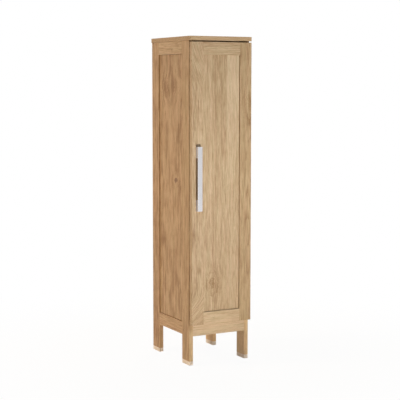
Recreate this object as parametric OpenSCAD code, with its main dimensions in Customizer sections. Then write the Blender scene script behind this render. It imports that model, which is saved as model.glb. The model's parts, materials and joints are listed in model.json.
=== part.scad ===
// Tall narrow bathroom cabinet on four legs, with framed sides and one framed door.
// The origin is on the floor under the middle of the whole cabinet, door and handle included.
// +X is to the right seen from the front, the door faces -Y, and the hinges are on the right.

/* [Cabinet] */
// Width across the outer faces of the legs
cabinet_w = 342; // [300:1:400]
// Depth from the legs' front faces to their rear faces
cabinet_d = 416; // [340:1:480]
// Height from the floor to the top of the top board
cabinet_h = 1650; // [1500:1:1800]
// Thickness of the legs, the rails and the top board
board_t = 22; // [20:0.5:25]
// How far the top board hangs over each side
top_over_side = 4; // [0:0.5:12]
// How far the top board hangs over the front
top_over_front = 20; // [5:1:28]

/* [Legs and feet] */
// Width of each leg, along the cabinet's depth
leg_w = 77; // [70:1:90]
// Height of the cap under each leg
foot_cap_h = 20; // [14:0.5:28]
// Clear height under the bottom rails
rail_z = 148; // [110:1:190]

/* [Frames and panels] */
// Height of the bottom rails and of the side and rear top rails
rail_h = 64; // [60:1:80]
// Height of the rail over the door opening
front_top_rail_h = 40; // [32:1:50]
// Thickness of the side panels' tongues and of the tenons in line with them
side_panel_t = 9; // [7:0.5:10]
// How far the side panels lie behind the outer faces of their frames
side_panel_recess = 5; // [3:0.5:6]
// How far a panel's face stands in front of its tongue
panel_rise = 4; // [2:0.5:5]
// Gap between a panel's raised face and its frame, apart from the door panel's top and foot
panel_quirk = 1.5; // [0.8:0.1:5]
// Depth of the grooves that hold the side and door panels
groove_d = 8; // [6:0.5:10]
// Room for a panel to swell at the bottom of each groove
panel_play = 1; // [0.5:0.1:2]
// Length of the side rails' tenons
tenon_l = 18; // [12:1:22]
// Thickness of the back panel
back_panel_t = 6; // [4:0.5:8]
// How far the back panel laps onto its frame
back_lap = 10; // [8:0.5:10]
// How far the back panel lies in front of the legs' rear faces
back_set = 2.5; // [2.2:0.1:4]

/* [Shelves] */
// Thickness of the shelves and of the bottom board
shelf_t = 18; // [16:1:22]
// Gap at each end of a loose shelf
shelf_end_gap = 1; // [0.5:0.1:2]
// How far the shelves' front edges lie behind the legs' front faces
shelf_set_back = 25; // [22:1:40]
// Gap between a shelf's rear edge and the back panel
shelf_rear_gap = 1; // [0.5:0.1:3]
// Distance of the peg holes from the front and rear faces of the legs
peg_line = 50; // [40:1:55]
// Pitch of the peg holes
peg_pitch = 32; // [25:1:40]
// Radius of a peg hole
peg_hole_r = 2.5; // [2:0.1:3]
// Depth of a peg hole
peg_hole_d = 11; // [8:0.5:13]
// Length of the part of a peg that carries the shelf
peg_reach = 8; // [6:0.5:12]
// Side of the square cleats that carry the bottom board and hold the top board
cleat_side = 18; // [16:1:24]

/* [Door] */
// Thickness of the door frame
door_t = 24; // [22:0.5:28]
// Gap between the closed door and the legs' front faces
door_gap = 4.5; // [4.3:0.1:6]
// How far each side edge of the door lies inside the legs' outer faces
door_side_inset = 1.4; // [0:0.1:2.5]
// Gap between the door's top edge and the top board
door_top_gap = 6.5; // [3:0.5:12]
// How far the door's bottom edge hangs below the bottom board's upper face
door_lap = 3; // [2:0.1:12]
// Width of the door's stiles
door_stile_w = 66; // [60:1:76]
// Height of the door's rails
door_rail_h = 63; // [54:1:80]
// Thickness of the door panel's tongue and of the tenons in line with it
door_panel_t = 7; // [6:0.5:9]
// How far the door panel lies behind the door's front face
door_panel_recess = 7; // [5:0.5:9]
// Gap between the door panel's raised face and the door's top rail
door_panel_top_gap = 0.8; // [0.5:0.1:4]
// Gap between the door panel's raised face and the door's bottom rail
door_panel_foot_gap = 2.2; // [0.5:0.1:4]

/* [Handle] */
// Width of the handle
handle_w = 26; // [18:0.5:32]
// Length of the handle
handle_l = 320; // [295:1:345]
// How far the handle stands out from the door
handle_reach = 21.5; // [18:0.5:34]
// Thickness of the handle's bar
handle_bar_t = 4; // [3:0.5:7]
// Length of each end block
handle_block_l = 55.5; // [46:0.5:60]
// Rounding of the bar's front edges
handle_round = 1.5; // [0.5:0.1:2.5]
// Height of the handle's middle over the floor
handle_z = 946; // [700:0.5:1100]
// Distance from the door's opening edge to the handle's middle line
handle_from_edge = 35.6; // [28:0.1:40]
// Distance between the handle's two screws
handle_pitch = 256; // [240:1:270]

/* [Hinges] */
// Distance of the upper and lower hinges from the door's ends
hinge_end = 110; // [90:1:150]
// Radius of the hinge cup
cup_r = 17.5; // [17:0.1:18]
// Depth of the hinge cup in the door
cup_d = 13; // [12.5:0.1:15]
// Thickness of the cup's wall and floor
cup_wall = 1; // [0.8:0.1:1.2]
// Distance from the door's hinge edge to the cup
cup_edge = 4; // [3.5:0.1:4.5]
// Thickness of the cup's flange
flange_t = 1.2; // [0.8:0.1:1.5]
// Distance from the door's hinge edge to the pin's axis
pin_edge = 9; // [8.8:0.1:9.2]
// Depth of the pin's axis behind the door's inner face
pin_depth = 8.5; // [8.3:0.1:8.8]
// Radius of the hinge pin
pin_r = 1.25; // [1:0.05:1.4]
// Clearance round the hinge pin
pin_play = 0.05; // [0.02:0.01:0.08]
// Thickness of the mounting plate
plate_t = 2; // [1.5:0.1:3]
// Thickness of the hinge arm
arm_t = 2; // [1.5:0.1:2.2]
// Width of the hinge arm's neck
neck_w = 9; // [7:0.5:9.5]
// Width of the hinge arm over its plate
arm_w = 14; // [12:0.5:16]
// Length of the hinge arm behind the legs' front faces
arm_l = 62; // [58:1:70]
// Height of the arm's side flanges
arm_side_h = 7; // [4:0.5:10]
// Distance of the plate's screws from the legs' front faces
plate_screw_line = 37; // [34:1:40]
// Distance between the two screws of a plate
plate_pitch = 32; // [30:1:36]
// Distance between the two screws of a cup
cup_pitch = 45; // [44:0.5:48]

/* [Fasteners] */
// Radius of the dowels
dowel_r = 4; // [3:0.5:4]
// Length of a dowel inside a leg
dowel_in_leg = 12; // [8:0.5:14]
// Length of a dowel inside a rail or shelf
dowel_in_rail = 18; // [12:0.5:20]
// Radius of a cam
cam_r = 7.5; // [6:0.5:7.5]
// Distance from a rail's end to its cam's middle
cam_from_end = 30; // [28:1:36]
// Radius of a cam bolt
cam_bolt_r = 2.5; // [2:0.1:3]
// Radius of the wood screws' shanks
screw_r = 2; // [1.5:0.1:2.2]
// Radius of the wood screws' heads
screw_head_r = 4; // [3.4:0.1:4.4]
// Radius of the back panel screws' shanks
pan_screw_r = 1.5; // [1.2:0.1:1.8]
// Clearance round each fastener and tenon
fit = 0.05; // [0.02:0.01:0.1]
// Radius of the two holes in the rear top rail for the wall screws
wall_hole_r = 3; // [2:0.1:4]
// Distance between the two wall screw holes
wall_hole_pitch = 200; // [120:1:200]

/* [Hidden] */
$fn = 40;
SHELVES = 4;
HINGES = [0, 1, 2];
PEG_HOLES = [-2, -1, 0, 1, 2];
BACK_SCREW_ROWS = 6;
FIXED_SHELF = 1;

// Heads, tips and small parts that only follow their maker's standard
screw_head_h = 2.4;
pan_head_r = 3.2;
pan_head_h = 1.8;
recess_l = 4;
recess_w = 0.9;
recess_d = 1;
past = 1;
eye_wall = 1.5;
lug_t = 2;
lug_gap = 0.5;
cup_lip = 1;
ear_r = 6;
ear_from_middle = 9.5;
arm_side_t = 1.2;
arm_start = 6;
plate_start = 10;
wing_r = 6;
clamp_screw_from_end = 12;
front_screw_from_start = 10;
bumper_r = 4;
bumper_from_end = 25;
bumper_gap = 0.3;
cap_bore_r = 5;
cap_bore_h = 8;
cap_screw_l = 34;
cleat_screw_l = 32;
top_screw_inset = 40;
plate_screw_l = 16;
cup_screw_l = 11;
back_screw_l = 16;
handle_screw_in = 14;
peg_rim = 1;
plate_end_gap = 2;
clip_screw_r = 2.2;
clip_head_h = 2;

// Outer planes
total_d = cabinet_d + door_gap + door_t + handle_reach;
y_rear = total_d / 2;
y_front = y_rear - cabinet_d;
x_out = cabinet_w / 2;
x_in = x_out - board_t;
top_under = cabinet_h - board_t;
low_rail_top = rail_z + rail_h;
top_rail_under = top_under - rail_h;
panel_face_x = x_out - side_panel_recess;
panel_x1 = panel_face_x - panel_rise;
panel_x0 = panel_x1 - side_panel_t;

// Shelves
floor_z = low_rail_top;
shelf_step = (top_under - floor_z - SHELVES * shelf_t) / (SHELVES + 1) + shelf_t;
shelf_y0 = y_front + shelf_set_back;
shelf_y1 = y_rear - back_set - back_panel_t - shelf_rear_gap;
peg_flat = peg_hole_r;
peg_r = peg_hole_r + peg_rim;
peg_columns = [y_front + peg_line, y_rear - peg_line];
function shelf_z(i) = floor_z + (i + 1) * shelf_step - shelf_t;
function peg_z(i) = shelf_z(i) - peg_flat;

// Door
door_w = cabinet_w - 2 * door_side_inset;
door_x = door_w / 2;
door_back = y_front - door_gap;
door_face = door_back - door_t;
door_z0 = floor_z - door_lap;
door_z1 = top_under - door_top_gap;
door_panel_face = door_face + door_panel_recess;
door_groove_y0 = door_panel_face + panel_rise;
door_groove_y1 = door_groove_y0 + door_panel_t;
handle_x = -(door_x - handle_from_edge);
handle_y0 = door_face - handle_reach;
hinge_z = [door_z0 + hinge_end, (door_z0 + door_z1) / 2, door_z1 - hinge_end];

// Hinges: u runs from the door's hinge edge inwards, v from its inner face forwards
cup_u = cup_edge + cup_r;
leg_u = board_t - door_side_inset;
arm_u0 = leg_u + plate_t;
arm_u1 = arm_u0 + arm_t;
eye_r = pin_r + pin_play + eye_wall;
eye_top = pin_depth + eye_r;
arm_v0 = -(door_gap + arm_l);
plate_v0 = arm_v0 + plate_end_gap;
ear_u = cup_u + ear_from_middle;
lug_z0 = neck_w / 2 + lug_gap;
lug_r = pin_r + pin_play + eye_wall;
pin_l = 2 * (lug_z0 + lug_t);
clip_v = [arm_v0 + clamp_screw_from_end, -(door_gap + arm_start + front_screw_from_start)];

// Directions that a fastener is driven in
to_right = [0, 90, 0];
to_left = [0, -90, 0];
to_back = [-90, 0, 0];
to_front = [90, 0, 0];
to_top = [0, 0, 0];

oak = [0.74, 0.6, 0.43];
oak_side = [0.69, 0.54, 0.38];
oak_panel = [0.71, 0.57, 0.41];
ply = [0.78, 0.66, 0.5];
beech = [0.82, 0.68, 0.5];
steel = [0.72, 0.72, 0.74];
zinc = [0.8, 0.8, 0.78];
satin_metal = [0.82, 0.82, 0.84];
frosted = [0.86, 0.8, 0.74];
clear_rubber = [0.85, 0.86, 0.86];

// A board between two opposite corners
module board(low, high) {
    translate(low) cube(high - low);
}

// Puts a right-hand shape on the right, or its mirror image on the left
module on_side(side) {
    if (side < 0) {
        mirror([1, 0, 0]) children();
    } else {
        children();
    }
}

// Places a fastener that is drawn along +Z
module driven(pos, turn) {
    translate(pos) rotate(turn) children();
}

module cross_recess() {
    for (turn = [0, 90]) {
        rotate([0, 0, turn])
            translate([-recess_l / 2, -recess_w / 2, -past])
                cube([recess_l, recess_w, recess_d + past]);
    }
}

// Countersunk screw with its head's face at the origin; grow makes the hole that it fits
module flat_screw(length, grow = 0) {
    difference() {
        union() {
            cylinder(h = screw_head_h + grow, r1 = screw_head_r + grow, r2 = screw_r + grow);
            cylinder(h = length + grow, r = screw_r + grow);
            if (grow > 0) {
                translate([0, 0, -past]) cylinder(h = past, r = screw_head_r + grow);
            }
        }
        if (grow == 0) {
            cross_recess();
        }
    }
}

// Pan-head screw with the underside of its head at the origin
module pan_screw(length, r, head_r, head_h) {
    difference() {
        union() {
            translate([0, 0, -head_h]) cylinder(h = head_h, r1 = head_r * 0.8, r2 = head_r);
            cylinder(h = length, r = r);
        }
        translate([0, 0, -head_h]) cross_recess();
    }
}

// Hole for a shank, from one step outside the surface
module shank_hole(length, r) {
    translate([0, 0, -past]) cylinder(h = length + fit + past, r = r + fit);
}

// Dowel places on a rail's end, as [y, z], at a quarter and three quarters of its height
function rail_dowels(y, z0, h) = [[y, z0 + h / 4], [y, z0 + 3 * h / 4]];
front_rail_y = y_front + board_t / 2;
rear_rail_y = y_rear - board_t / 2;
front_dowels = concat(
    rail_dowels(front_rail_y, rail_z, rail_h),
    rail_dowels(front_rail_y, top_under - front_top_rail_h, front_top_rail_h)
);
rear_dowels = concat(
    rail_dowels(rear_rail_y, rail_z, rail_h),
    rail_dowels(rear_rail_y, top_rail_under, rail_h)
);
shelf_dowels = [for (y = peg_columns) [y, shelf_z(FIXED_SHELF) + shelf_t / 2]];
front_cams = [
    [front_rail_y, rail_z + rail_h / 2],
    [front_rail_y, top_under - front_top_rail_h / 2]
];
rear_cams = [
    [rear_rail_y, rail_z + rail_h / 2],
    [rear_rail_y, top_rail_under + rail_h / 2]
];

// Holes that a leg's inner face has for dowels and cam bolts
module leg_joint_holes(dowel_places, cam_places) {
    for (p = dowel_places) {
        driven([x_in, p[0], p[1]], to_right) shank_hole(dowel_in_leg, dowel_r);
    }
    for (p = cam_places) {
        driven([x_in, p[0], p[1]], to_right) shank_hole(dowel_in_leg, cam_bolt_r);
    }
}

// Rows of holes for the pegs of the loose shelves, and the dowel hole of the fixed one
module leg_shelf_holes(y) {
    for (i = [0:SHELVES - 1]) {
        if (i != FIXED_SHELF) {
            for (n = PEG_HOLES) {
                driven([x_in, y, peg_z(i) + n * peg_pitch], to_right)
                    translate([0, 0, -past])
                        cylinder(h = peg_hole_d + past, r = peg_hole_r);
            }
        }
    }
    driven([x_in, y, shelf_z(FIXED_SHELF) + shelf_t / 2], to_right)
        shank_hole(dowel_in_leg, dowel_r);
}

// Groove and mortises on the edge of a leg; inward is +1 on a front leg and -1 on a rear one
module leg_frame_cuts(y, inward) {
    back = inward > 0 ? -1 : 0;
    groove_y = y + back * groove_d;
    mortise_l = tenon_l + panel_play;
    mortise_y = y + back * mortise_l;
    board(
        [panel_x0, groove_y, low_rail_top - groove_d],
        [panel_x1, groove_y + groove_d, top_rail_under + groove_d]
    );
    for (z = [rail_z + groove_d, top_rail_under + groove_d]) {
        board(
            [panel_x0 - fit, mortise_y, z - fit],
            [panel_x1 + fit, mortise_y + mortise_l, z + rail_h - 2 * groove_d + fit]
        );
    }
}

module foot_screw_hole(y) {
    driven([x_out - board_t / 2, y, cap_bore_h], to_top) shank_hole(cap_screw_l, screw_r);
}

module front_leg(side) {
    color(oak_side) on_side(side) difference() {
        board([x_in, y_front, foot_cap_h], [x_out, y_front + leg_w, top_under]);
        leg_frame_cuts(y_front + leg_w, 1);
        leg_joint_holes(front_dowels, front_cams);
        leg_shelf_holes(y_front + peg_line);
        foot_screw_hole(y_front + leg_w / 2);
        if (side > 0) {
            for (z = hinge_z, s = [-1, 1]) {
                driven([x_in, y_front + plate_screw_line, z + s * plate_pitch / 2], to_right)
                    shank_hole(plate_screw_l - plate_t, screw_r);
            }
        }
    }
}

module rear_leg(side) {
    color(oak_side) on_side(side) difference() {
        board([x_in, y_rear - leg_w, foot_cap_h], [x_out, y_rear, top_under]);
        leg_frame_cuts(y_rear - leg_w, -1);
        leg_joint_holes(rear_dowels, rear_cams);
        leg_shelf_holes(y_rear - peg_line);
        foot_screw_hole(y_rear - leg_w / 2);
        board(
            [x_in - past, y_rear - back_set - back_panel_t, low_rail_top - back_lap],
            [x_in + back_lap, y_rear + past, top_rail_under + back_lap]
        );
        for (z = back_screw_z) {
            driven([x_in + back_lap / 2, y_rear - back_set, z], to_front)
                shank_hole(back_screw_l, pan_screw_r);
        }
    }
}

// A side rail with a tenon at each end and a groove on the edge that faces the panel
module side_rail(side, z, groove_z) {
    y0 = y_front + leg_w;
    y1 = y_rear - leg_w;
    color(oak_side) on_side(side) difference() {
        union() {
            board([x_in, y0, z], [x_out, y1, z + rail_h]);
            board(
                [panel_x0, y0 - tenon_l, z + groove_d],
                [panel_x1, y1 + tenon_l, z + rail_h - groove_d]
            );
        }
        board([panel_x0, y0 - past, groove_z], [panel_x1, y1 + past, groove_z + groove_d]);
        for (y = cleat_screw_y) {
            driven([x_in - cleat_side, y, cleat_screw_height(z)], to_right)
                flat_screw(cleat_screw_l, fit);
        }
    }
}

// A panel with a tongue in its frame's grooves and a raised face inside the frame's edges
module side_panel(side) {
    edge = groove_d - panel_play;
    y0 = y_front + leg_w;
    y1 = y_rear - leg_w;
    color(oak_panel) on_side(side) union() {
        board(
            [panel_x0, y0 - edge, low_rail_top - edge],
            [panel_x1, y1 + edge, top_rail_under + edge]
        );
        board(
            [panel_x0, y0 + panel_quirk, low_rail_top + panel_quirk],
            [panel_face_x, y1 - panel_quirk, top_rail_under - panel_quirk]
        );
    }
}

// A rail between two legs, with its dowel holes, bolt holes and cam bores
module cross_rail(y0, z0, h, inner_face, inward) {
    mid_y = y0 + board_t / 2;
    difference() {
        board([-x_in, y0, z0], [x_in, y0 + board_t, z0 + h]);
        for (side = [-1, 1]) {
            on_side(side) {
                for (p = rail_dowels(mid_y, z0, h)) {
                    driven([x_in, p[0], p[1]], to_left) shank_hole(dowel_in_rail, dowel_r);
                }
                driven([x_in, mid_y, z0 + h / 2], to_left) shank_hole(cam_from_end, cam_bolt_r);
                driven([x_in - cam_from_end, inner_face, z0 + h / 2], inward)
                    shank_hole(board_t / 2 + cam_bolt_r, cam_r);
            }
        }
    }
}

module front_top_rail() {
    color(oak) cross_rail(
        y_front, top_under - front_top_rail_h, front_top_rail_h, y_front + board_t, to_front
    );
}

module front_bottom_rail() {
    color(oak) cross_rail(y_front, rail_z, rail_h, y_front + board_t, to_front);
}

// Cuts the back panel's rebate and the holes of its screws along one rear rail
module back_rebate(z0, z1, screw_z) {
    board([-x_in - past, y_rear - back_set - back_panel_t, z0], [x_in + past, y_rear + past, z1]);
    for (s = [-1, 1]) {
        driven([s * x_in / 2, y_rear - back_set, screw_z], to_front)
            shank_hole(back_screw_l, pan_screw_r);
    }
}

module rear_top_rail() {
    color(oak) difference() {
        cross_rail(y_rear - board_t, top_rail_under, rail_h, y_rear - board_t, to_back);
        back_rebate(
            top_rail_under - past, top_rail_under + back_lap, top_rail_under + back_lap / 2
        );
        for (s = [-1, 1]) {
            driven([s * wall_hole_pitch / 2, y_rear + past, top_rail_under + rail_h / 2], to_front)
                cylinder(h = board_t + 2 * past, r = wall_hole_r);
        }
    }
}

module rear_bottom_rail() {
    color(oak) difference() {
        cross_rail(y_rear - board_t, rail_z, rail_h, y_rear - board_t, to_back);
        back_rebate(low_rail_top - back_lap, low_rail_top + past, low_rail_top - back_lap / 2);
    }
}

back_screw_step = (top_rail_under - low_rail_top) / BACK_SCREW_ROWS;
back_screw_z = [
    for (i = [0:BACK_SCREW_ROWS - 1]) low_rail_top + (i + 0.5) * back_screw_step
];
back_screws = concat(
    [for (z = back_screw_z, s = [-1, 1]) [s * (x_in + back_lap / 2), z]],
    [for (z = [low_rail_top - back_lap / 2, top_rail_under + back_lap / 2], s = [-1, 1])
        [s * x_in / 2, z]]
);

module back_panel() {
    color(ply) difference() {
        board(
            [-x_in - back_lap, y_rear - back_set - back_panel_t, low_rail_top - back_lap],
            [x_in + back_lap, y_rear - back_set, top_rail_under + back_lap]
        );
        for (p = back_screws) {
            driven([p[0], y_rear - back_set, p[1]], to_front)
                shank_hole(back_screw_l, pan_screw_r);
        }
    }
}

// The top board's and cleats' screws, clear of each other along the cleats
cleat_y0 = y_front + board_t;
cleat_y1 = y_rear - board_t;
cleat_l = cleat_y1 - cleat_y0;
cleat_screw_y = [for (k = [0.3, 0.5, 0.7]) cleat_y0 + k * cleat_l];
top_screw_y = [cleat_y0 + top_screw_inset, cleat_y1 - top_screw_inset];
top_screw_x = x_in - cleat_side / 2;
bottom_cleat_z = floor_z - shelf_t - cleat_side;
top_cleat_z = top_under - cleat_side;
function cleat_screw_height(rail_low) =
    (rail_low < top_rail_under ? bottom_cleat_z : top_cleat_z) + cleat_side / 2;

module top_board() {
    color(oak) difference() {
        board(
            [-x_out - top_over_side, y_front - top_over_front, top_under],
            [x_out + top_over_side, y_rear, cabinet_h]
        );
        for (s = [-1, 1], y = top_screw_y) {
            driven([s * top_screw_x, y, top_cleat_z], to_top) flat_screw(cleat_screw_l, fit);
        }
    }
}

module bottom_board() {
    color(oak_panel) board(
        [-x_in, y_front + board_t, floor_z - shelf_t], [x_in, y_rear - board_t, floor_z]
    );
}

module cleat(side, z, holds_top) {
    color(oak) on_side(side) difference() {
        board([x_in - cleat_side, cleat_y0, z], [x_in, cleat_y1, z + cleat_side]);
        for (y = cleat_screw_y) {
            driven([x_in - cleat_side, y, z + cleat_side / 2], to_right)
                flat_screw(cleat_screw_l, fit);
        }
        if (holds_top) {
            for (y = top_screw_y) {
                driven([top_screw_x, y, z], to_top) flat_screw(cleat_screw_l, fit);
            }
        }
    }
}

module loose_shelf(i) {
    half_w = x_in - shelf_end_gap;
    color(oak_panel) board(
        [-half_w, shelf_y0, shelf_z(i)], [half_w, shelf_y1, shelf_z(i) + shelf_t]
    );
}

module fixed_shelf() {
    z = shelf_z(FIXED_SHELF);
    color(oak_panel) difference() {
        board([-x_in, shelf_y0, z], [x_in, shelf_y1, z + shelf_t]);
        for (side = [-1, 1], y = peg_columns) {
            on_side(side) driven([x_in, y, z + shelf_t / 2], to_left)
                shank_hole(dowel_in_rail, dowel_r);
        }
    }
}

// A cap that carries one leg, bored from below for its screw
module foot_cap(side, y) {
    color(frosted) on_side(side) difference() {
        board([x_in, y, 0], [x_out, y + leg_w, foot_cap_h]);
        foot_screw_hole(y + leg_w / 2);
        translate([x_out - board_t / 2, y + leg_w / 2, -past])
            cylinder(h = cap_bore_h + past, r = cap_bore_r);
    }
}

module foot_cap_screws() {
    color(zinc) for (side = [-1, 1], y = [y_front + leg_w / 2, y_rear - leg_w / 2]) {
        on_side(side) driven([x_out - board_t / 2, y, cap_bore_h], to_top)
            pan_screw(cap_screw_l, screw_r, screw_head_r, pan_head_h);
    }
}

// A peg with a round shank in the leg and a flat on top of the end that carries the shelf
module shelf_peg() {
    cylinder(h = peg_hole_d - fit, r = peg_hole_r - fit);
    difference() {
        translate([0, 0, -peg_reach]) cylinder(h = peg_reach, r = peg_r);
        translate([-peg_r - peg_flat, -peg_r, -peg_reach - past])
            cube([peg_r, 2 * peg_r, peg_reach + 2 * past]);
    }
}

module shelf_pegs() {
    color(zinc) for (i = [0:SHELVES - 1], side = [-1, 1], y = peg_columns) {
        if (i != FIXED_SHELF) {
            on_side(side) driven([x_in, y, peg_z(i)], to_right) shelf_peg();
        }
    }
}

module dowels() {
    color(beech) for (side = [-1, 1], p = concat(front_dowels, rear_dowels, shelf_dowels)) {
        on_side(side) driven([x_in - dowel_in_rail, p[0], p[1]], to_right)
            cylinder(h = dowel_in_rail + dowel_in_leg, r = dowel_r);
    }
}

// A cam in its bore, with a hole in its side for the bolt's end
module cam(inner_face, p, inward) {
    difference() {
        driven([x_in - cam_from_end, inner_face, p[1]], inward) difference() {
            cylinder(h = board_t / 2 + cam_bolt_r, r = cam_r);
            cross_recess();
        }
        driven([x_in - cam_from_end, p[0], p[1]], to_right)
            cylinder(h = cam_from_end, r = cam_bolt_r + fit);
    }
}

module cams() {
    color(zinc) for (side = [-1, 1]) {
        on_side(side) {
            for (p = front_cams) {
                cam(y_front + board_t, p, to_front);
            }
            for (p = rear_cams) {
                cam(y_rear - board_t, p, to_back);
            }
        }
    }
}

module cam_bolts() {
    color(steel) for (side = [-1, 1], p = concat(front_cams, rear_cams)) {
        on_side(side) driven([x_in - cam_from_end + fit, p[0], p[1]], to_right)
            cylinder(h = cam_from_end - fit + dowel_in_leg, r = cam_bolt_r);
    }
}

module top_screws() {
    color(steel) for (side = [-1, 1], y = top_screw_y) {
        on_side(side) driven([top_screw_x, y, top_cleat_z], to_top) flat_screw(cleat_screw_l);
    }
}

module cleat_screws() {
    z = [bottom_cleat_z + cleat_side / 2, top_cleat_z + cleat_side / 2];
    color(steel) for (side = [-1, 1], z = z, y = cleat_screw_y) {
        on_side(side) driven([x_in - cleat_side, y, z], to_right) flat_screw(cleat_screw_l);
    }
}

module back_panel_screws() {
    color(steel) for (p = back_screws) {
        driven([p[0], y_rear - back_set, p[1]], to_front)
            pan_screw(back_screw_l, pan_screw_r, pan_head_r, pan_head_h);
    }
}

// Puts a hinge's parts in place; inside, +X is u, +Y is v and +Z is up
module at_hinge(i) {
    translate([door_x, door_back, hinge_z[i]]) rotate([0, 0, 180]) children();
}

module hinge_plate(i) {
    screw_v = -(door_gap + plate_screw_line);
    color(steel) at_hinge(i) difference() {
        union() {
            board(
                [leg_u, plate_v0, -arm_w / 2],
                [arm_u0, -(door_gap + plate_start), arm_w / 2]
            );
            board(
                [leg_u, screw_v - wing_r, -plate_pitch / 2],
                [arm_u0, screw_v + wing_r, plate_pitch / 2]
            );
            for (s = [-1, 1]) {
                driven([leg_u, screw_v, s * plate_pitch / 2], to_right)
                    cylinder(h = plate_t, r = wing_r);
            }
        }
        for (s = [-1, 1]) {
            driven([leg_u, screw_v, s * plate_pitch / 2], to_right)
                shank_hole(plate_t + past, screw_r);
        }
        for (v = clip_v) {
            driven([leg_u, v, 0], to_right) shank_hole(plate_t + past, clip_screw_r);
        }
    }
}

// A channel over the plate, then a neck that bends round the leg's edge to the pin in the cup
module hinge_arm(i) {
    half_w = arm_w / 2;
    side_u1 = arm_u1 + arm_side_h;
    color(steel) at_hinge(i) difference() {
        union() {
            board([arm_u0, arm_v0, -neck_w / 2], [arm_u1, eye_top, neck_w / 2]);
            board([pin_edge, eye_top - arm_t, -neck_w / 2], [arm_u1, eye_top, neck_w / 2]);
            translate([pin_edge, pin_depth, -neck_w / 2]) cylinder(h = neck_w, r = eye_r);
            board([arm_u0, arm_v0, -half_w], [arm_u1, -(door_gap + arm_start), half_w]);
            for (z = [-half_w, half_w - arm_side_t]) {
                board([arm_u0, arm_v0, z], [side_u1, -(door_gap + arm_start), z + arm_side_t]);
            }
        }
        translate([pin_edge, pin_depth, -neck_w]) cylinder(h = 2 * neck_w, r = pin_r + pin_play);
        for (v = clip_v) {
            driven([arm_u0, v, 0], to_right) shank_hole(arm_t + past, clip_screw_r);
        }
    }
}

module hinge_plate_screws() {
    color(steel) for (i = HINGES, s = [-1, 1]) {
        at_hinge(i)
            driven([arm_u0, -(door_gap + plate_screw_line), s * plate_pitch / 2], to_left)
                pan_screw(plate_screw_l, screw_r, pan_head_r, pan_head_h);
    }
}

module hinge_clip_screws() {
    color(steel) for (i = HINGES, v = clip_v) {
        at_hinge(i) driven([arm_u1, v, 0], to_left)
            pan_screw(arm_t + plate_t, clip_screw_r, pan_head_r, clip_head_h);
    }
}

// A flanged cup in the door, with two lugs that hold the pin
module hinge_cup(i) {
    color(steel) at_hinge(i) difference() {
        union() {
            difference() {
                union() {
                    driven([cup_u, 0, 0], to_back) cylinder(h = cup_d, r = cup_r);
                    driven([cup_u, -flange_t, 0], to_back)
                        cylinder(h = flange_t, r = cup_r + cup_lip);
                    board(
                        [ear_u - ear_r, -flange_t, -cup_pitch / 2],
                        [ear_u + ear_r, 0, cup_pitch / 2]
                    );
                    for (s = [-1, 1]) {
                        driven([ear_u, -flange_t, s * cup_pitch / 2], to_back)
                            cylinder(h = flange_t, r = ear_r);
                    }
                }
                driven([cup_u, -flange_t - past, 0], to_back)
                    cylinder(h = flange_t + past + cup_d - cup_wall, r = cup_r - cup_wall);
            }
            for (z = [-lug_z0 - lug_t, lug_z0]) {
                translate([pin_edge, pin_depth, z]) cylinder(h = lug_t, r = lug_r);
                board(
                    [pin_edge - lug_r, pin_depth, z],
                    [pin_edge + lug_r, cup_d - cup_wall / 2, z + lug_t]
                );
            }
        }
        translate([pin_edge, pin_depth, -pin_l]) cylinder(h = 2 * pin_l, r = pin_r + pin_play);
        for (s = [-1, 1]) {
            driven([ear_u, -flange_t, s * cup_pitch / 2], to_back)
                shank_hole(flange_t + past, pan_screw_r);
        }
    }
}

module hinge_cup_screws() {
    color(steel) for (i = HINGES, s = [-1, 1]) {
        at_hinge(i) driven([ear_u, -flange_t, s * cup_pitch / 2], to_back)
            pan_screw(cup_screw_l, pan_screw_r, pan_head_r, pan_head_h);
    }
}

module hinge_pins() {
    color(steel) for (i = HINGES) {
        at_hinge(i) translate([pin_edge, pin_depth, -pin_l / 2]) cylinder(h = pin_l, r = pin_r);
    }
}

// A door stile with the panel's groove and the rails' mortises
module door_stile(side) {
    x0 = door_x - door_stile_w;
    on_side(side) difference() {
        board([x0, door_face, door_z0], [door_x, door_back, door_z1]);
        board(
            [x0 - past, door_groove_y0, door_z0 + door_rail_h - groove_d],
            [x0 + groove_d, door_groove_y1, door_z1 - door_rail_h + groove_d]
        );
        for (z = [door_z0 + groove_d, door_z1 - door_rail_h + groove_d]) {
            board(
                [x0 - past, door_groove_y0 - fit, z - fit],
                [
                    x0 + tenon_l + panel_play,
                    door_groove_y1 + fit,
                    z + door_rail_h - 2 * groove_d + fit
                ]
            );
        }
    }
}

module door_left_stile() {
    color(oak) difference() {
        door_stile(-1);
        for (s = [-1, 1]) {
            driven([handle_x, door_back, handle_z + s * handle_pitch / 2], to_front)
                shank_hole(door_t + past, screw_r);
        }
    }
}

module door_right_stile() {
    color(oak) difference() {
        door_stile(1);
        for (i = HINGES) {
            at_hinge(i) {
                driven([cup_u, 0, 0], to_back) shank_hole(cup_d, cup_r);
                for (s = [-1, 1]) {
                    driven([ear_u, -flange_t, s * cup_pitch / 2], to_back)
                        shank_hole(cup_screw_l, pan_screw_r);
                }
            }
        }
    }
}

// A door rail with a tenon at each end and a groove on the edge that faces the panel
module door_rail(z, groove_z) {
    x1 = door_x - door_stile_w;
    color(oak) difference() {
        union() {
            board([-x1, door_face, z], [x1, door_back, z + door_rail_h]);
            board(
                [-x1 - tenon_l, door_groove_y0, z + groove_d],
                [x1 + tenon_l, door_groove_y1, z + door_rail_h - groove_d]
            );
        }
        board([-x1 - past, door_groove_y0, groove_z], [x1 + past, door_groove_y1, groove_z + groove_d]);
    }
}

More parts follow.
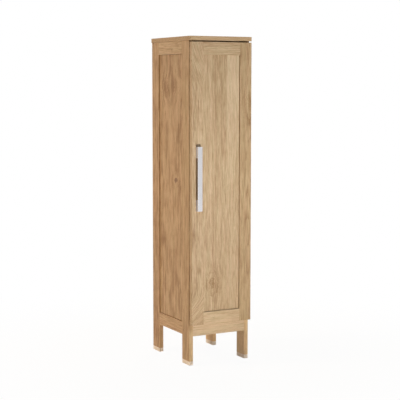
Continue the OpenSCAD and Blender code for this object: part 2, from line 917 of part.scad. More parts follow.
module door_panel() {
    edge = groove_d - panel_play;
    x1 = door_x - door_stile_w;
    z0 = door_z0 + door_rail_h;
    z1 = door_z1 - door_rail_h;
    color(oak_panel) union() {
        board([-x1 - edge, door_groove_y0, z0 - edge], [x1 + edge, door_groove_y1, z1 + edge]);
        board(
            [-x1 + panel_quirk, door_panel_face, z0 + door_panel_foot_gap],
            [x1 - panel_quirk, door_groove_y1, z1 - door_panel_top_gap]
        );
    }
}

// Flat bar with rounded front edges and a block at each end, bored for the door's screws
module handle() {
    half_w = handle_w / 2;
    round_x = half_w - handle_round;
    color(satin_metal) difference() {
        translate([handle_x, handle_y0, handle_z]) union() {
            translate([0, 0, -handle_l / 2]) linear_extrude(height = handle_l) {
                translate([-round_x, 0]) square([2 * round_x, handle_bar_t]);
                translate([-half_w, handle_round]) square([handle_w, handle_bar_t - handle_round]);
                for (s = [-1, 1]) {
                    translate([s * round_x, handle_round]) circle(r = handle_round);
                }
            }
            for (z = [-handle_l / 2, handle_l / 2 - handle_block_l]) {
                board([-half_w, handle_round, z], [half_w, handle_reach, z + handle_block_l]);
            }
        }
        for (s = [-1, 1]) {
            driven([handle_x, door_face, handle_z + s * handle_pitch / 2], to_front)
                shank_hole(handle_screw_in, screw_r);
        }
    }
}

module handle_screws() {
    color(steel) for (s = [-1, 1]) {
        driven([handle_x, door_back, handle_z + s * handle_pitch / 2], to_front)
            pan_screw(door_t + handle_screw_in, screw_r, screw_head_r, pan_head_h);
    }
}

module door_bumpers() {
    color(clear_rubber) for (z = [door_z0 + bumper_from_end, door_z1 - bumper_from_end]) {
        driven([-(x_in + board_t / 2), door_back, z], to_back)
            cylinder(h = door_gap - bumper_gap, r = bumper_r);
    }
}

front_leg(-1);  // left_front_leg
front_leg(1);  // right_front_leg
rear_leg(-1);  // left_rear_leg
rear_leg(1);  // right_rear_leg
side_rail(-1, top_rail_under, top_rail_under);  // left_top_rail
side_rail(1, top_rail_under, top_rail_under);  // right_top_rail
side_rail(-1, rail_z, low_rail_top - groove_d);  // left_bottom_rail
side_rail(1, rail_z, low_rail_top - groove_d);  // right_bottom_rail
side_panel(-1);  // left_side_panel
side_panel(1);  // right_side_panel
front_top_rail();
front_bottom_rail();
rear_top_rail();
rear_bottom_rail();
back_panel();
top_board();
bottom_board();
loose_shelf(0);  // first_shelf
fixed_shelf();
loose_shelf(2);  // third_shelf
loose_shelf(3);  // fourth_shelf
cleat(-1, top_cleat_z, true);  // left_top_cleat
cleat(1, top_cleat_z, true);  // right_top_cleat
cleat(-1, bottom_cleat_z, false);  // left_bottom_cleat
cleat(1, bottom_cleat_z, false);  // right_bottom_cleat
foot_cap(-1, y_front);  // left_front_foot_cap
foot_cap(1, y_front);  // right_front_foot_cap
foot_cap(-1, y_rear - leg_w);  // left_rear_foot_cap
foot_cap(1, y_rear - leg_w);  // right_rear_foot_cap
shelf_pegs();
dowels();
cams();
cam_bolts();
top_screws();
cleat_screws();
back_panel_screws();
foot_cap_screws();
hinge_plate(0);  // lower_hinge_plate
hinge_plate(1);  // middle_hinge_plate
hinge_plate(2);  // upper_hinge_plate
hinge_arm(0);  // lower_hinge_arm
hinge_arm(1);  // middle_hinge_arm
hinge_arm(2);  // upper_hinge_arm
hinge_plate_screws();
hinge_clip_screws();
door_left_stile();
door_right_stile();
door_rail(door_z1 - door_rail_h, door_z1 - door_rail_h);  // door_top_rail
door_rail(door_z0, door_z0 + door_rail_h - groove_d);  // door_bottom_rail
door_panel();
handle();
handle_screws();
door_bumpers();
hinge_cup(0);  // lower_hinge_cup
hinge_cup(1);  // middle_hinge_cup
hinge_cup(2);  // upper_hinge_cup
hinge_cup_screws();
hinge_pins();
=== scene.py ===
import json
import math

import bmesh
import bpy
from mathutils import Euler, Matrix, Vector


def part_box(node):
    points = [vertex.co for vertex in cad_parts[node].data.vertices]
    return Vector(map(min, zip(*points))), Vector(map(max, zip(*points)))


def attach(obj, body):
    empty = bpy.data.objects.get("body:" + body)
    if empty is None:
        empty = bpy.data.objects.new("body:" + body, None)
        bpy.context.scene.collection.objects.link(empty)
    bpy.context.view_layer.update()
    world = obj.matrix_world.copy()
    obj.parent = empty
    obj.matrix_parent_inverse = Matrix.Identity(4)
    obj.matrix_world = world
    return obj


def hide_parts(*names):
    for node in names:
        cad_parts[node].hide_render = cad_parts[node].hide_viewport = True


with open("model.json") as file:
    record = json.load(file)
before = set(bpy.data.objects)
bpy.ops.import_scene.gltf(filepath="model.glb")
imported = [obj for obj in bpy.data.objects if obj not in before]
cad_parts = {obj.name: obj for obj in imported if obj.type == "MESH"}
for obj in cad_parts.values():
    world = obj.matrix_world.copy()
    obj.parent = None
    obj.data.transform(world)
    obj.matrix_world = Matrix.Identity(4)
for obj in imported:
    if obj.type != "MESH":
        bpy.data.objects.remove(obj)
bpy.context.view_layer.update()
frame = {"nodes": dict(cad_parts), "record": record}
nodes = frame["nodes"]
record = frame["record"]
bodyOf = {node: body for body, group in record["behaviour"]["bodies"].items() for node in group}
print("frame loaded:", len(nodes), "pieces")


# Camera

camera = {
    "place": (-2.7488, -5.1279, 1.4149),  # metres, in front of the door and to its left
    "turn": 28.094,  # degrees from straight at the door towards the right
    "tilt": 5.875,  # degrees down
    "lens": 101.46,  # millimetres on the sensor below
    "sensor": 36,
}


def makeCamera(settings):
    eye = bpy.data.objects.new("camera", bpy.data.cameras.new("camera"))
    bpy.context.scene.collection.objects.link(eye)
    eye.data.sensor_width = settings["sensor"]
    eye.data.lens = settings["lens"]
    eye.location = settings["place"]
    eye.rotation_euler = (math.radians(90 - settings["tilt"]), 0, -math.radians(settings["turn"]))
    bpy.context.scene.camera = eye


makeCamera(camera)
bpy.context.scene.view_settings.view_transform = "Standard"
print("camera placed")


# Short ways to build node trees

def feed(tree, socket, value):
    if isinstance(value, bpy.types.NodeSocket):
        tree.links.new(value, socket)
    else:
        socket.default_value = value


def put(tree, kind, inputs=None, **settings):
    node = tree.nodes.new("ShaderNode" + kind)
    for key, value in settings.items():
        setattr(node, key, value)
    for key, value in (inputs or {}).items():
        feed(tree, node.inputs[key], value)
    return node


def calc(tree, operation, *values):
    return put(tree, "Math", dict(enumerate(values)), operation=operation).outputs[0]


def vector(tree, operation, *values):
    node = put(tree, "VectorMath", dict(enumerate(values)), operation=operation)
    return node.outputs["Value" if operation == "LENGTH" else "Vector"]


def scaled(tree, arrow, amount):
    return put(tree, "VectorMath", {0: arrow, "Scale": amount}, operation="SCALE").outputs[0]


def objectPlace(tree):
    return put(tree, "TexCoord").outputs["Object"]


def axesOf(tree, place):
    return put(tree, "SeparateXYZ", {0: place}).outputs


def joined(tree, axes):
    return put(tree, "CombineXYZ", axes).outputs[0]


def noise(tree, place, waves, detail, roughness=0.5):  # waves per metre along X, Y and Z
    spot = vector(tree, "MULTIPLY", place, waves)
    inputs = {"Vector": spot, "Scale": 1.0, "Detail": detail, "Roughness": roughness}
    return put(tree, "TexNoise", inputs).outputs


def lineNoise(tree, value, detail, roughness=0.55):
    inputs = {"W": value, "Scale": 1.0, "Detail": detail, "Roughness": roughness}
    return put(tree, "TexNoise", inputs, noise_dimensions="1D").outputs["Fac"]


def between(tree, value, low, high, start=0.0, end=1.0, smooth=True):
    kind = "SMOOTHSTEP" if smooth else "LINEAR"
    inputs = {"Value": value, "From Min": low, "From Max": high, "To Min": start, "To Max": end}
    return put(tree, "MapRange", inputs, interpolation_type=kind).outputs["Result"]


def mixColour(tree, amount, first, second, way="MIX"):
    node = put(tree, "Mix", data_type="RGBA", blend_type=way)
    sockets = {socket.identifier: socket for socket in node.inputs}
    feed(tree, sockets["Factor_Float"], amount)
    feed(tree, sockets["A_Color"], first)
    feed(tree, sockets["B_Color"], second)
    return next(socket for socket in node.outputs if socket.identifier == "Result_Color")


def newGroup(name, inputs, outputs):
    group = bpy.data.node_groups.new(name, "ShaderNodeTree")
    for label, kind, value in inputs:
        socket = group.interface.new_socket(name=label, in_out="INPUT", socket_type="NodeSocket" + kind)
        if value is not None:
            socket.default_value = value
    for label, kind in outputs:
        group.interface.new_socket(name=label, in_out="OUTPUT", socket_type="NodeSocket" + kind)
    return group, group.nodes.new("NodeGroupInput").outputs, group.nodes.new("NodeGroupOutput").inputs


def useGroup(tree, group, inputs):
    return put(tree, "Group", inputs, node_tree=group).outputs


def paint(red, green, blue):  # a screen colour from 0 to 255, as Blender's linear one
    def linear(level):
        share = level / 255
        return share / 12.92 if share <= 0.04045 else ((share + 0.055) / 1.055) ** 2.4
    return (linear(red), linear(green), linear(blue), 1.0)


def newTree(owner):
    owner.use_nodes = True
    owner.node_tree.nodes.clear()
    return owner.node_tree


def newMaterial(name, **fixed):
    material = bpy.data.materials.new(name)
    tree = newTree(material)
    shader = put(tree, "BsdfPrincipled", {key.replace("_", " "): value for key, value in fixed.items()})
    put(tree, "OutputMaterial", {"Surface": shader.outputs[0]})
    return material, tree, shader.inputs


def addRelief(tree, shader, height, strength, depth):
    bump = put(tree, "Bump", {"Height": height, "Strength": strength, "Distance": depth})
    tree.links.new(bump.outputs[0], shader["Normal"])


# Studio: a weak warm fill all round, a strong low lamp close in front of the door with a weak box over it,
# a warm box high on the left, a small lamp for the feet, and one box each above and behind the cabinet

openSpread = 180  # degrees
white = (1, 1, 1, 1)

studio = {
    "fillColour": (1.0, 0.86, 0.74, 1.0),
    "fill": 0.14,
    "lamps": {
        "frontBox": {"place": (-0.4, -3.3, 0.5), "aim": (-0.1, -0.2, 1.2), "size": (0.5, 0.5), "power": 3,
                     "spread": openSpread, "colour": (0.95, 0.97, 1.0)},
        "lowLamp": {"place": (-0.134, -1.9, 0.05), "aim": (-0.13, -0.2, 2.6), "size": (0.22, 0.22),
                    "power": 24.7, "spread": 126, "colour": (0.98, 0.985, 0.985)},
        "leftBox": {"place": (-3.0, 0.8, 2.6), "aim": (0, 0, 0.42), "size": (0.9, 0.9), "power": 15.4,
                    "spread": 80, "colour": (1.0, 0.82, 0.625)},
        "footLamp": {"place": (-0.58, -1.75, 0.05), "aim": (0.03, 0.0, 0.02), "size": (0.35, 0.08),
                     "power": 0.3, "spread": 40, "colour": (1.0, 0.92, 0.8)},
        "overBox": {"place": (0.1, 0.1, 4.2), "aim": (0.1, 0.1, 0), "size": (1.6, 1.6), "power": 30,
                    "spread": openSpread, "colour": (1.0, 0.97, 0.93)},
        "backBox": {"place": (2.0, 3.0, 1.3), "aim": (0, 0, 0.9), "size": (1.6, 1.4), "power": 85,
                    "spread": openSpread, "colour": (1.0, 0.96, 0.9)},
    },
    "floorSize": 30,
    "floorCells": 4,
    "floorColour": (0.94, 0.86, 0.7, 1.0),
    "floorShade": 0.045,  # how much of its own shading the floor shows to the camera beside the cabinet
    "floorFade": (0.4, 2.0),  # metres from the cabinet between which that fades to white
}


def seenOrMirrored(tree):
    path = put(tree, "LightPath").outputs
    seen = calc(tree, "MAXIMUM", path["Is Camera Ray"], path["Is Glossy Ray"])
    return calc(tree, "MAXIMUM", seen, path["Is Transmission Ray"])


def makeWorld(settings):
    world = bpy.data.worlds.new("studio")
    bpy.context.scene.world = world
    tree = newTree(world)
    fill = put(tree, "Background", {"Color": settings["fillColour"], "Strength": settings["fill"]})
    backdrop = put(tree, "Background", {"Color": white, "Strength": 1.0})
    both = put(tree, "MixShader", {0: seenOrMirrored(tree), 1: fill.outputs[0], 2: backdrop.outputs[0]})
    put(tree, "OutputWorld", {"Surface": both.outputs[0]})


def makeLamp(name, lamp):
    light = bpy.data.lights.new(name, "AREA")
    light.shape = "RECTANGLE"
    light.size, light.size_y = lamp["size"]
    light.energy = lamp["power"]
    light.color = lamp["colour"]
    light.spread = math.radians(lamp["spread"])
    holder = bpy.data.objects.new(name, light)
    bpy.context.scene.collection.objects.link(holder)
    holder.location = lamp["place"]
    aim = Vector(lamp["aim"]) - Vector(lamp["place"])
    holder.rotation_euler = aim.to_track_quat("-Z", "Y").to_euler()
    holder.visible_camera = False


def makeFloor(settings):
    shape = bmesh.new()
    cells = settings["floorCells"]
    bmesh.ops.create_grid(shape, x_segments=cells, y_segments=cells, size=settings["floorSize"] / 2)
    mesh = bpy.data.meshes.new("floor")
    shape.to_mesh(mesh)
    shape.free()
    floor = bpy.data.objects.new("floor", mesh)
    bpy.context.scene.collection.objects.link(floor)
    material = bpy.data.materials.new("paleFloor")
    tree = newTree(material)
    matt = put(tree, "BsdfDiffuse", {"Color": settings["floorColour"]})
    glow = put(tree, "Emission", {"Color": white, "Strength": 1.0})
    away = vector(tree, "LENGTH", objectPlace(tree))
    whiteness = between(tree, away, *settings["floorFade"], 1 - settings["floorShade"], 1.0)
    share = calc(tree, "MULTIPLY", seenOrMirrored(tree), whiteness)
    both = put(tree, "MixShader", {0: share, 1: matt.outputs[0], 2: glow.outputs[0]})
    put(tree, "OutputMaterial", {"Surface": both.outputs[0]})
    mesh.materials.append(material)


makeWorld(studio)
for name, lamp in studio["lamps"].items():
    makeLamp(name, lamp)
makeFloor(studio)
print("studio ready")


# Oak: a solid log with its pith along Z, so end grain, arches and straight lines come from how a board is cut

noiseMiddle = (0.5, 0.5, 0.5)

oak = {
    "pale": (216, 194, 162),  # screen colours, as are the others
    "mid": (193, 167, 133),
    "dark": (154, 122, 85),
    "pore": (112, 84, 56),
    "knot": (122, 88, 58),
    "ring": 0.0034,  # metres from one ring to the next
    "knotShare": 0.8,  # how far a knot's heart takes on its colour
    "reliefStrength": 0.6,
    "relief": 0.0003,
}
grain = {
    # waves per metre along X, Y and Z, then detail and roughness
    "bend": ((3.0, 3.0, 1.3), 1.0, 0.5),
    "ripple": ((22.0, 22.0, 2.5), 2.0, 0.5),
    "streak": ((110.0, 110.0, 5.0), 4.0, 0.65),
    "fleck": ((230.0, 230.0, 12.0), 3.0, 0.65),
    "cloud": ((9.0, 9.0, 3.2), 3.0, 0.5),
    "smudge": ((55.0, 55.0, 14.0), 3.0, 0.6),
    "fibre": ((800.0, 800.0, 11.0), 2.0, 0.6),
    "pit": ((1500.0, 1500.0, 36.0), 1.0, 0.5),
    "blush": ((60.0, 60.0, 4.0), 2.0, 0.5),
    "sideways": (1.0, 1.0, 0.0),  # drops what runs along the log
    "rippleReach": (0.006, 0.006, 0.0),  # metres
    "rippleShare": (0.12, 0.12, 0.0),  # of the ripple that the flecks follow
    "bands": 75.0,  # broad bands per metre out from the pith
    "bandDetail": 2.0,
    "ringDetail": 1.0,
    "earlyEnd": 0.45,  # share of a ring over which its dark early wood fades
    "alongPower": 0.25,  # how much of a wider figure is also drawn out along the board
    "rays": (70.0, 60.0, 45.0),  # waves round the log, out from its pith and along it
    "rayDetail": 1.0,
    "fleckEdges": (0.34, 0.66),
    "smudgeEdges": (0.5, 0.72),
    "pitEdges": (0.55, 0.64),
    "rayEdges": (0.6, 0.72),
    "blushEdges": (0.35, 0.65),
    "poresLate": 0.25,  # share of the pores that late wood keeps
    # how strongly each layer shows in the tone
    "weights": {"band": 0.3, "ring": 0.4, "streak": 0.2, "cloud": 0.36, "fibre": 0.7, "fleck": 0.47},
    "plainTone": 0.55,
    "smudgeTone": -0.3,
    "earlyTone": -0.2,
    "rayTone": 0.12,
    "blushColours": ((0.985, 1.0, 0.965, 1.0), (1.0, 0.965, 0.95, 1.0)),
    "poreShare": 0.6,
    "rough": (0.56, 0.46),  # from dark wood to pale
    "poreRough": 0.18,
    "fibreRelief": 0.35,
    "earlyRelief": -0.12,
}


def makeGrainGroup(look):
    tree, given, result = newGroup(
        "oakGrain",
        [("Position", "Vector", None), ("Ring", "Float", None), ("Bend", "Float", None),
         ("Tone", "Float", None), ("Contrast", "Float", 1.0), ("Across", "Float", 1.0),
         ("Mottle", "Float", 0.3), ("Pale", "Color", None), ("Mid", "Color", None),
         ("Dark", "Color", None), ("Pore", "Color", None)],
        [("Color", "Color"), ("Roughness", "Float"), ("Height", "Float")],
    )
    place = given["Position"]

    # The log bends and ripples round its pith
    bend = vector(tree, "SUBTRACT", noise(tree, place, *look["bend"])["Color"], noiseMiddle)
    bend = scaled(tree, vector(tree, "MULTIPLY", bend, look["sideways"]), given["Bend"])
    ripple = vector(tree, "SUBTRACT", noise(tree, place, *look["ripple"])["Color"], noiseMiddle)
    ripple = vector(tree, "MULTIPLY", ripple, look["rippleReach"])
    log = vector(tree, "ADD", vector(tree, "ADD", place, bend), ripple)
    radius = vector(tree, "LENGTH", vector(tree, "MULTIPLY", log, look["sideways"]))

    # Rings and broad bands
    phase = calc(tree, "DIVIDE", radius, given["Ring"])
    ringTone = lineNoise(tree, phase, look["ringDetail"])
    bandTone = lineNoise(tree, calc(tree, "MULTIPLY", radius, look["bands"]), look["bandDetail"])
    early = between(tree, calc(tree, "FRACT", phase), 0.0, look["earlyEnd"], 1.0, 0.0)

    # Streaks, flecks and smudges, wider where Across is under 1
    along = calc(tree, "POWER", given["Across"], look["alongPower"])
    across = joined(tree, {0: given["Across"], 1: given["Across"], 2: along})
    streak = noise(tree, vector(tree, "MULTIPLY", log, across), *look["streak"])["Fac"]
    wavy = vector(tree, "ADD", place, vector(tree, "MULTIPLY", ripple, look["rippleShare"]))
    wavy = vector(tree, "MULTIPLY", wavy, across)
    fleck = between(tree, noise(tree, wavy, *look["fleck"])["Fac"], *look["fleckEdges"])
    smudge = between(tree, noise(tree, wavy, *look["smudge"])["Fac"], *look["smudgeEdges"])
    cloud = noise(tree, place, *look["cloud"])["Fac"]

    # Fibres, pores in the early wood, and rays from the pith
    fibre = noise(tree, place, *look["fibre"])["Fac"]
    pit = between(tree, noise(tree, place, *look["pit"])["Fac"], *look["pitEdges"])
    pores = calc(tree, "MULTIPLY", pit, between(tree, early, 0.0, 1.0, look["poresLate"], 1.0))
    parts = axesOf(tree, log)
    turn = calc(tree, "ARCTAN2", parts[1], parts[0])
    spot = {axis: calc(tree, "MULTIPLY", value, waves)
            for axis, (value, waves) in enumerate(zip((turn, radius, parts[2]), look["rays"]))}
    inputs = {"Vector": joined(tree, spot), "Scale": 1.0, "Detail": look["rayDetail"]}
    ray = between(tree, put(tree, "TexNoise", inputs).outputs["Fac"], *look["rayEdges"])

    # All layers as one tone, and the tone as a colour
    layers = {"band": bandTone, "ring": ringTone, "streak": streak,
              "cloud": cloud, "fibre": fibre, "fleck": fleck}
    figure = 0.0
    for layer, weight in look["weights"].items():
        figure = calc(tree, "MULTIPLY_ADD", calc(tree, "SUBTRACT", layers[layer], 0.5), weight, figure)
    base = calc(tree, "ADD", look["plainTone"], given["Tone"])
    tone = calc(tree, "MULTIPLY_ADD", figure, given["Contrast"], base)
    mottle = calc(tree, "MULTIPLY", smudge, given["Mottle"])
    tone = calc(tree, "MULTIPLY_ADD", mottle, look["smudgeTone"], tone)
    tone = calc(tree, "MULTIPLY_ADD", early, look["earlyTone"], tone)
    tone = calc(tree, "MULTIPLY_ADD", ray, look["rayTone"], tone)
    low = mixColour(tree, between(tree, tone, 0.0, 0.5, smooth=False), given["Dark"], given["Mid"])
    colour = mixColour(tree, between(tree, tone, 0.5, 1.0, smooth=False), low, given["Pale"])
    blush = between(tree, noise(tree, log, *look["blush"])["Fac"], *look["blushEdges"])
    colour = mixColour(tree, 1.0, colour, mixColour(tree, blush, *look["blushColours"]), "MULTIPLY")
    colour = mixColour(tree, calc(tree, "MULTIPLY", pores, look["poreShare"]), colour, given["Pore"])
    tree.links.new(colour, result["Color"])

    rough = between(tree, tone, 0.0, 1.0, *look["rough"], smooth=False)
    tree.links.new(calc(tree, "MULTIPLY_ADD", pores, look["poreRough"], rough), result["Roughness"])
    height = calc(tree, "MULTIPLY_ADD", pores, -1.0, calc(tree, "MULTIPLY", fibre, look["fibreRelief"]))
    tree.links.new(calc(tree, "MULTIPLY_ADD", early, look["earlyRelief"], height), result["Height"])
    return tree


# Knots draw the grain round them and leave rings of shade

knot = {
    "ragged": ((60, 60, 60), 3.0, 0.6),  # waves per metre, detail and roughness of its uneven edge
    "raggedReach": (0.9, 0.9, 0.9),
    "pull": 0.7,  # how far the grain is drawn round it
    "softness": 1.9,  # where its heart has faded, in radii of the heart
    "rings": 4.5,
    "ringDetail": 3.0,
    "ringEdges": (0.38, 0.62),
    "ringShade": (0.05, 1.0),
}


def makeKnotGroup(look):
    tree, given, result = newGroup(
        "oakKnot",
        [("Position", "Vector", None), ("Centre", "Vector", None), ("Reach", "Vector", None),
         ("Heart", "Float", None)],
        [("Position", "Vector"), ("Core", "Float"), ("Shade", "Float")],
    )
    off = vector(tree, "SUBTRACT", given["Position"], given["Centre"])
    ragged = vector(tree, "SUBTRACT", noise(tree, given["Position"], *look["ragged"])["Color"], noiseMiddle)
    ragged = vector(tree, "MULTIPLY", ragged, look["raggedReach"])
    far = vector(tree, "LENGTH", vector(tree, "ADD", vector(tree, "DIVIDE", off, given["Reach"]), ragged))
    fade = calc(tree, "EXPONENT", calc(tree, "MULTIPLY", calc(tree, "MULTIPLY", far, far), -1.0))
    moved = scaled(tree, off, calc(tree, "MULTIPLY_ADD", fade, -look["pull"], 1.0))
    tree.links.new(vector(tree, "ADD", moved, given["Centre"]), result["Position"])
    edge = calc(tree, "MULTIPLY", given["Heart"], look["softness"])
    tree.links.new(between(tree, far, given["Heart"], edge, 1.0, 0.0), result["Core"])
    rings = lineNoise(tree, calc(tree, "MULTIPLY", far, look["rings"]), look["ringDetail"])
    rings = between(tree, rings, *look["ringEdges"], *look["ringShade"])
    tree.links.new(calc(tree, "MULTIPLY", fade, rings), result["Shade"])
    return tree


grainGroup = makeGrainGroup(grain)
knotGroup = makeKnotGroup(knot)
grainTurn = {"x": (0, -math.pi / 2, 0), "y": (math.pi / 2, 0, 0), "z": (0, 0, 0)}  # turns the grain onto Z
leanSoftness = 0.06  # metres over which slanting grain sets in
stripSlide = (0.09, 0.13, 9.7)  # metres between the logs of the two kinds of strip


def stripLevel(tree, axes, strips):
    axis, start, end, edges = strips
    share = between(tree, axes["xyz".index(axis)], start, end, smooth=False)
    ramp = put(tree, "ValToRGB", {0: share})
    ramp.color_ramp.interpolation = "CONSTANT"
    stops = ramp.color_ramp.elements
    while len(stops) < len(edges):
        stops.new(0.5)
    for stop, (edge, tone) in zip(stops, edges):
        stop.position = (edge - start) / (end - start)
        stop.color = (tone, tone, tone, 1.0)
    return put(tree, "SeparateColor", {0: ramp.outputs["Color"]}).outputs[0]


def leaning(tree, place, height, start, way, slope):
    past = calc(tree, "SUBTRACT", height, start) if way == "up" else calc(tree, "SUBTRACT", start, height)
    shift = calc(tree, "MULTIPLY", calc(tree, "SMOOTH_MAX", past, 0.0, leanSoftness), slope)
    return vector(tree, "ADD", place, joined(tree, {0: shift}))


def tinted(colour, tint):
    red, green, blue, alpha = paint(*colour)
    return (min(red * tint[0], 1.0), min(green * tint[1], 1.0), min(blue * tint[2], 1.0), alpha)


def oakMaterial(name, look, middle):
    material, tree, shader = newMaterial(name)
    place = objectPlace(tree)
    axes = axesOf(tree, place)
    height = axes[2]
    tone = look["tone"]
    core = None
    for start, way, slope in look["leans"]:
        place = leaning(tree, place, height, start, way, slope)
    if "fall" in look:
        tone = between(tree, height, *look["fall"])
    for centre, reach, heart, depth in look["knots"]:
        inputs = {"Position": place, "Centre": centre, "Reach": reach, "Heart": heart}
        drawn = useGroup(tree, knotGroup, inputs)
        place = drawn["Position"]
        core = drawn["Core"] if core is None else calc(tree, "MAXIMUM", core, drawn["Core"])
        tone = calc(tree, "MULTIPLY_ADD", drawn["Shade"], -depth, tone)
    turn = grainTurn[look["grain"]]
    home = Vector((*look["pith"], look["slide"])) - Euler(turn).to_matrix() @ middle
    place = put(tree, "Mapping", {"Vector": place, "Rotation": turn, "Location": home}).outputs[0]
    if "strips" in look:
        level = stripLevel(tree, axes, look["strips"])
        slide = {axis: calc(tree, "MULTIPLY", level, step) for axis, step in enumerate(stripSlide)}
        place = vector(tree, "ADD", place, joined(tree, slide))
        strength = between(tree, height, *look["stripFade"])
        tone = calc(tree, "MULTIPLY_ADD", calc(tree, "SUBTRACT", level, 0.5), strength, tone)
    figure = useGroup(tree, grainGroup, {
        "Position": place, "Ring": oak["ring"], "Bend": look["bend"], "Tone": tone,
        "Contrast": look["contrast"], "Across": look["across"], "Mottle": look["mottle"],
        "Pale": tinted(oak["pale"], look["tint"]), "Mid": tinted(oak["mid"], look["tint"]),
        "Dark": tinted(oak["dark"], look["tint"]), "Pore": tinted(oak["pore"], look["tint"]),
    })
    colour = figure["Color"]
    if core is not None:
        heartwood = calc(tree, "MULTIPLY", core, oak["knotShare"])
        colour = mixColour(tree, heartwood, colour, tinted(oak["knot"], look["tint"]))
    tree.links.new(colour, shader["Base Color"])
    tree.links.new(figure["Roughness"], shader["Roughness"])
    addRelief(tree, shader, figure["Height"], oak["reliefStrength"], oak["relief"])
    return material


# Boards
# grain: the axis that it runs along; pith and slide: where in its log the board was cut
# fall: a low and a high place, then the tone at each, instead of one tone
# leans: the height where the grain begins to slant, which way it goes on from there, and how much
# knots: centre, reach, the heart as a share of the reach, and how dark the rings round it are
# strips: an axis, where its scale starts and ends, and each strip's edge and tone
# stripFade: a low and a high place, then how strongly the strips show at each

plainBoard = {"tone": 0.0, "tint": (1, 1, 1), "bend": 0.03, "contrast": 1.0, "across": 1.0, "mottle": 0.3,
              "knots": [], "leans": []}

